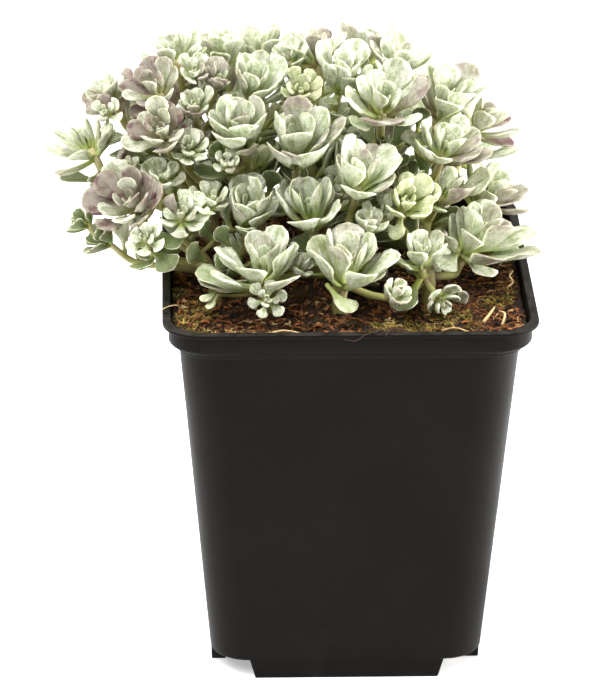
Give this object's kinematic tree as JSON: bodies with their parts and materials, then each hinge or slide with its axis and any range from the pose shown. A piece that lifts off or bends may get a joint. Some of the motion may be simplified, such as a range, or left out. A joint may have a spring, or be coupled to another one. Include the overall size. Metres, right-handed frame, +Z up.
{
  "type": "potted plant",
  "caption": "Mound of silvery spoon-leaved succulent rosettes on branching stems, rooted in fibrous soil in a tapered square plastic nursery pot with a rolled rim.",
  "frame": {"origin": "on the standing surface, under the middle of the whole outline of plant and pot", "axes": "+Z up, -Y towards the front of the plant as it is seen in the picture, +X to its right; the pot's sides lie along X and Y"},
  "size_m": [0.1214, 0.1062, 0.1502],
  "materials": {
    "plastic": "near-black moulded plastic, half matt",
    "soil": "moist fibrous bark and coir with moss",
    "stem": "smooth fleshy stem, matt",
    "leaf_silver": "powdery pale green fleshy leaf, matt",
    "leaf_fresh": "yellow-green fleshy leaf, matt",
    "leaf_mauve": "powdery pale leaf with a mauve blush, matt",
    "leaf_shade": "darker green fleshy leaf, matt"
  },
  "bodies": {
    "root": {"pot": "plastic", "soil": "soil", "stem_1": "stem", "stem_2": "stem", "stem_3": "stem", "stem_4": "stem", "stem_5": "stem", "stem_6": "stem", "stem_7": "stem", "stem_8": "stem", "stem_9": "stem", "stem_10": "stem", "rosette_01": "leaf_silver", "rosette_02": "leaf_silver", "rosette_03": "leaf_silver", "rosette_04": "leaf_silver", "rosette_05": "leaf_silver", "rosette_06": "leaf_silver", "rosette_07": "leaf_silver", "rosette_08": "leaf_silver", "rosette_09": "leaf_fresh", "rosette_10": "leaf_silver", "rosette_11": "leaf_silver", "rosette_12": "leaf_mauve", "rosette_13": "leaf_shade", "rosette_14": "leaf_shade", "rosette_15": "leaf_silver", "rosette_16": "leaf_silver", "rosette_17": "leaf_silver", "rosette_18": "leaf_mauve", "rosette_19": "leaf_mauve", "rosette_20": "leaf_silver", "rosette_21": "leaf_silver", "rosette_22": "leaf_silver", "rosette_23": "leaf_silver", "rosette_24": "leaf_silver", "rosette_25": "leaf_silver", "rosette_26": "leaf_silver", "rosette_27": "leaf_fresh", "rosette_28": "leaf_silver", "rosette_29": "leaf_silver", "rosette_30": "leaf_silver", "rosette_31": "leaf_silver", "rosette_32": "leaf_silver", "rosette_33": "leaf_mauve", "rosette_34": "leaf_silver", "rosette_35": "leaf_shade", "rosette_36": "leaf_silver", "rosette_37": "leaf_silver", "rosette_38": "leaf_silver", "rosette_39": "leaf_silver", "rosette_40": "leaf_silver", "rosette_41": "leaf_shade", "rosette_42": "leaf_silver", "rosette_43": "leaf_silver", "rosette_44": "leaf_silver", "rosette_45": "leaf_silver", "rosette_46": "leaf_silver", "rosette_47": "leaf_shade", "rosette_48": "leaf_silver"}
  },
  "joints": []
}
